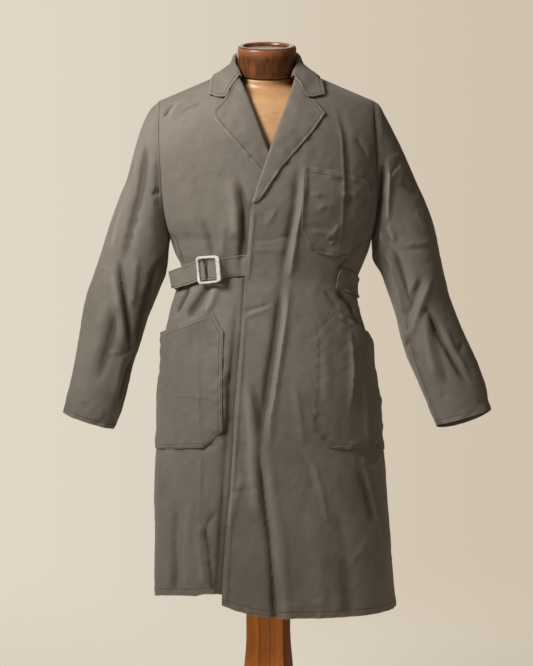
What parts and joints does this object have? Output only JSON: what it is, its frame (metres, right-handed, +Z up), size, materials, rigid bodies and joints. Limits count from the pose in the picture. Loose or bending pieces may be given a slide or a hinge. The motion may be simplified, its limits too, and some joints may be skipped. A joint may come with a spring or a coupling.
{
  "type": "work coat on a dress form",
  "caption": "Knee-length belted work coat with notched lapels, a hidden-button front and patch pockets, worn open at the neck on a limbless dress form on a wooden stand.",
  "frame": {"origin": "on the floor, below the middle of the whole's bounding box", "axes": "+X towards the wearer's left, +Y towards the back, +Z up; the front faces -Y"},
  "size_m": [0.8508, 0.4134, 1.5377],
  "materials": {
    "cloth": "matte cotton twill with a faint sheen on its folds",
    "steel": "bright nickel-plated wire, slightly worn",
    "form_cover": "varnished tan paper over canvas, mottled",
    "cap_wood": "dark brown varnish, glossy rims",
    "post_wood": "glued boards under a warm brown satin varnish"
  },
  "bodies": {
    "root": {"front_right": "cloth", "front_left": "cloth", "back_panel": "cloth", "sleeve_right": "cloth", "sleeve_left": "cloth", "lapel_right": "cloth", "lapel_left": "cloth", "collar": "cloth", "pocket_chest": "cloth", "pocket_right": "cloth", "pocket_left": "cloth", "belt_band": "cloth", "belt_tail": "cloth", "belt_tab": "cloth", "buckle_frame": "steel", "buckle_bar": "steel", "form_torso": "form_cover", "form_cap": "cap_wood", "stand_post": "post_wood", "stand_base": "post_wood"}
  },
  "joints": []
}
